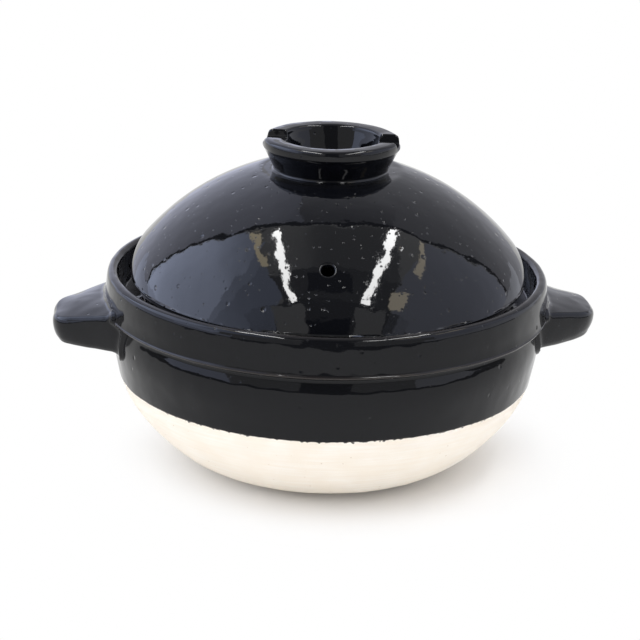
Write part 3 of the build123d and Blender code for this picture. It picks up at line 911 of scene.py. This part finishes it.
# The backdrop's top edge as the dome mirrors it, from the far left to the far right
BACKDROP_EDGE = [
    (-8.0, 6.6), (-3.5, 2.85), (-2.5, 1.95), (-1.95, 1.39), (-1.3, 0.90), (-1.05, 0.66),
    (-0.75, 0.45), (-0.54, 0.36), (-0.18, 0.25), (0.11, 0.25), (0.45, 0.36), (0.80, 0.46),
    (1.33, 0.88), (1.83, 1.25), (2.40, 1.70), (3.3, 2.5), (8.0, 6.2)]


def edge_between(left, right, lower=0.0, falls=0.0):
    """The backdrop's edge between two x, or a line under it that falls away outwards."""
    return [(x, y - lower - falls * abs(x)) for x, y in BACKDROP_EDGE if left < x < right]


overhead("backdrop_left", edge_between(-9, 0) + [(-0.18, 9), (-9, 9)],
         0.8, BACKDROP_LEFT, brighter=("X", 0.0, -0.5, 1.3))
overhead("backdrop_middle", edge_between(-0.2, 0.47) + [(0.45, 1.6), (-0.18, 1.6)],
         0.46, BACKDROP_RIGHT, brighter=("Y", 0.25, 0.8, 0.75))
overhead("backdrop_right",
         edge_between(0.4, 9) + [(9, 9), (-0.18, 9), (-0.18, 1.6), (0.45, 1.6)],
         0.72, BACKDROP_RIGHT)
overhead("backdrop_top_edge", BACKDROP_EDGE + edge_between(-9, 9, 0.035, 0.03)[::-1],
         0.1, drop=0.01)
overhead("window_wall", edge_between(-9, -0.5, 0.05, 0.03)
         + [(-0.47, -0.19), (-0.41, -0.54), (-0.52, -0.66), (-0.66, -1.2), (-1.3, -2.6), (-6, -6)],
         1.55, WINDOW, brighter=("X", -0.45, -2.2, 3.1))
overhead("ceiling_behind", edge_between(-0.6, 0.6, 0.05)
         + [(0.62, -0.25), (-0.46, -0.25)], 0.47, brighter=("X", 0.0, -0.28, 0.85))
overhead("ceiling_middle", [(-0.46, -0.25), (0.62, -0.25), (0.62, -0.6), (-0.4, -0.6)], 0.32)
overhead("ceiling_front", [(-0.9, -0.6), (0.9, -0.6), (1.3, -2.6), (-1.3, -2.6)], 0.22)
overhead("window_pane",
         [(-0.49, 0.14), (-0.56, 0.00), (-0.67, -0.12), (-0.86, -0.22), (-1.12, -0.29),
          (-1.45, -0.34), (-3.2, -0.40), (-3.0, 2.2), (-1.95, 1.28), (-1.3, 0.81),
          (-1.05, 0.58), (-0.75, 0.38), (-0.54, 0.29)],
         2.4, WINDOW, brighter=("X", -0.5, -1.1, 4.2), drop=0.02)
overhead("window_reveal",
         [(-0.43, 0.12), (-0.49, -0.06), (-0.60, -0.20), (-0.80, -0.31), (-1.06, -0.39),
          (-1.40, -0.45), (-3.2, -0.55), (-3.2, -0.20), (-0.9, 0.1)],
         1.9, WINDOW, brighter=("X", -0.45, -1.6, 3.0), drop=0.01)
overhead("lamp_frame", [(-0.17, -0.30), (0.17, -0.30), (0.18, -0.49), (-0.18, -0.49)],
         0.1, drop=0.02)
overhead("front_opening", [(-0.2, -0.80), (0.24, -0.80), (0.26, -1.3), (-0.2, -1.3)],
         0.05, drop=0.02)
overhead("left_front_shade", [(-0.2, -0.66), (-0.52, -0.6), (-0.58, -1.2), (-0.24, -1.25)],
         0.95, drop=0.02)
overhead("right_front_shade", [(0.25, -0.66), (0.56, -0.59), (0.68, -1.1), (0.36, -1.2)],
         0.85, drop=0.02)
overhead("room_right", edge_between(0.55, 9, 0.05, 0.03)
         + [(6, -6), (1.3, -2.6), (0.66, -0.9), (0.62, -0.2)],
         1.3, ROOM_RIGHT, brighter=("X", 0.9, 2.0, 1.25))
overhead("left_tube_copy", [(-0.54, 0.28), (-0.49, 0.28), (-0.44, -0.14), (-0.51, -0.14)],
         4.6, "#fff0cf", drop=0.03)
overhead("right_tube_copy",
         [(0.65, 0.33), (0.74, 0.33), (0.80, 0.05), (0.78, -0.10), (0.70, -0.10), (0.71, 0.08)],
         4.2, TUBE_ON_WALL, drop=0.03)
overhead("right_tube_spill",
         [(0.56, -0.42), (0.62, -0.36), (0.74, -0.34), (0.72, -0.50), (0.64, -0.56),
          (0.56, -0.56)], 4.4, TUBE_ON_WALL, drop=0.03)

# Each tube is a lamp for its light, and under it a board for what the glaze mirrors
TUBE_DROP, TUBE_WIDTH, TUBE_LIGHT, TUBE_MIRRORED = 0.04, 0.085, 17.0, 30.0
FAR_HALF, NEAR_HALF = 0.034, 0.024
for name, far, near in (("tube_left", (-0.36, 0.215), (-0.29, -0.59)),
                        ("tube_right", (0.44, 0.29), (0.34, -0.59))):
    one, two = (Vector((x * ABOVE_POT, y * ABOVE_POT, CEILING - TUBE_DROP))
                for x, y in (far, near))
    middle, along = (one + two) / 2, one - two
    tube = lamp(name, middle, middle - Vector((0, 0, 1)), (TUBE_WIDTH, along.length), TUBE_LIGHT)
    tube.rotation_euler = (0, 0, math.atan2(-along.x, along.y))
    overhead(name + "_mirrored", [(far[0] - FAR_HALF, far[1]), (far[0] + FAR_HALF, far[1]),
                                  (near[0] + NEAR_HALF, near[1]), (near[0] - NEAR_HALF, near[1])],
             TUBE_MIRRORED, drop=0.05)

for start, end, radiance in ((-2.6, -0.35, 0.65), (-0.35, 0.45, 0.18), (0.45, 2.6, 0.6)):
    upright("front_wall", (start, -1.7), (end, -1.7), 0.1, 1.7, radiance)
upright("left_wall", (-1.9, -1.9), (-1.9, 2.4), 0.1, 0.65, 1.9, "#dde5ff")
upright("right_wall", (1.9, -1.9), (1.9, 2.4), 0.1, 0.65, 1.4, "#eceffa")
upright("low_backdrop_left", (-5, 3.5), (0, 3.5), 0, 0.9, 1.35, BACKDROP_LEFT)
upright("low_backdrop_right", (0, 3.5), (5, 3.5), 0, 0.9, 0.78, BACKDROP_RIGHT)
for side, start, end in (("front", (-1.9, -1.65), (1.9, -1.65)),
                         ("left", (-1.85, -1.9), (-1.85, 0.6)),
                         ("right", (1.85, -1.9), (1.85, 0.6))):
    upright("table_edge_" + side, start, end, -0.02, 0.12, 0.2)
lamp("roof_light", (0, 0.5, 1.75), (0, 0, 0), (2.4, 2.0), 0.5)
lamp("window_light", (-1.6, -0.6, 0.6), (0, 0, 0), (1.6, 0.8), 0.9)

world = bpy.data.worlds.new("pale_room")
bpy.context.scene.world = world
world.use_nodes = True
world.node_tree.nodes.clear()
tree = world.node_tree
room = put(tree, "ShaderNodeBackground", {"Color": paint("#f8f9ff"), "Strength": 0.95})
white = put(tree, "ShaderNodeBackground", {"Color": paint("#ffffff"), "Strength": 1.0})
mixed = put(tree, "ShaderNodeMixShader", {0: seen_rays(tree),
            1: room.outputs["Background"], 2: white.outputs["Background"]})
put(tree, "ShaderNodeOutputWorld", {"Surface": mixed.outputs["Shader"]})


# Camera: almost a metre in front of the pot and a little above it, with a long lens. It
# stands six degrees to the left, so that the lugs are seen slightly turned.

CAMERA_PLACE = (-0.0997, -0.9377, 0.3953)
CAMERA_AIM = (-0.00349, -0.00639, 0.07278)
CAMERA_ROLL = 1.569
LENS, SENSOR = 110.58, 36

camera_data = bpy.data.cameras.new("camera")
camera_data.lens, camera_data.sensor_width = LENS, SENSOR
camera_data.clip_end = 20
camera = bpy.data.objects.new("camera", camera_data)
camera.location = CAMERA_PLACE
camera.rotation_mode = "QUATERNION"
look = (Vector(CAMERA_AIM) - Vector(CAMERA_PLACE)).to_track_quat("-Z", "Y")
camera.rotation_quaternion = look @ Quaternion((0, 0, 1), math.radians(CAMERA_ROLL))
bpy.context.scene.collection.objects.link(camera)
bpy.context.scene.camera = camera
bpy.context.scene.view_settings.view_transform = "Standard"
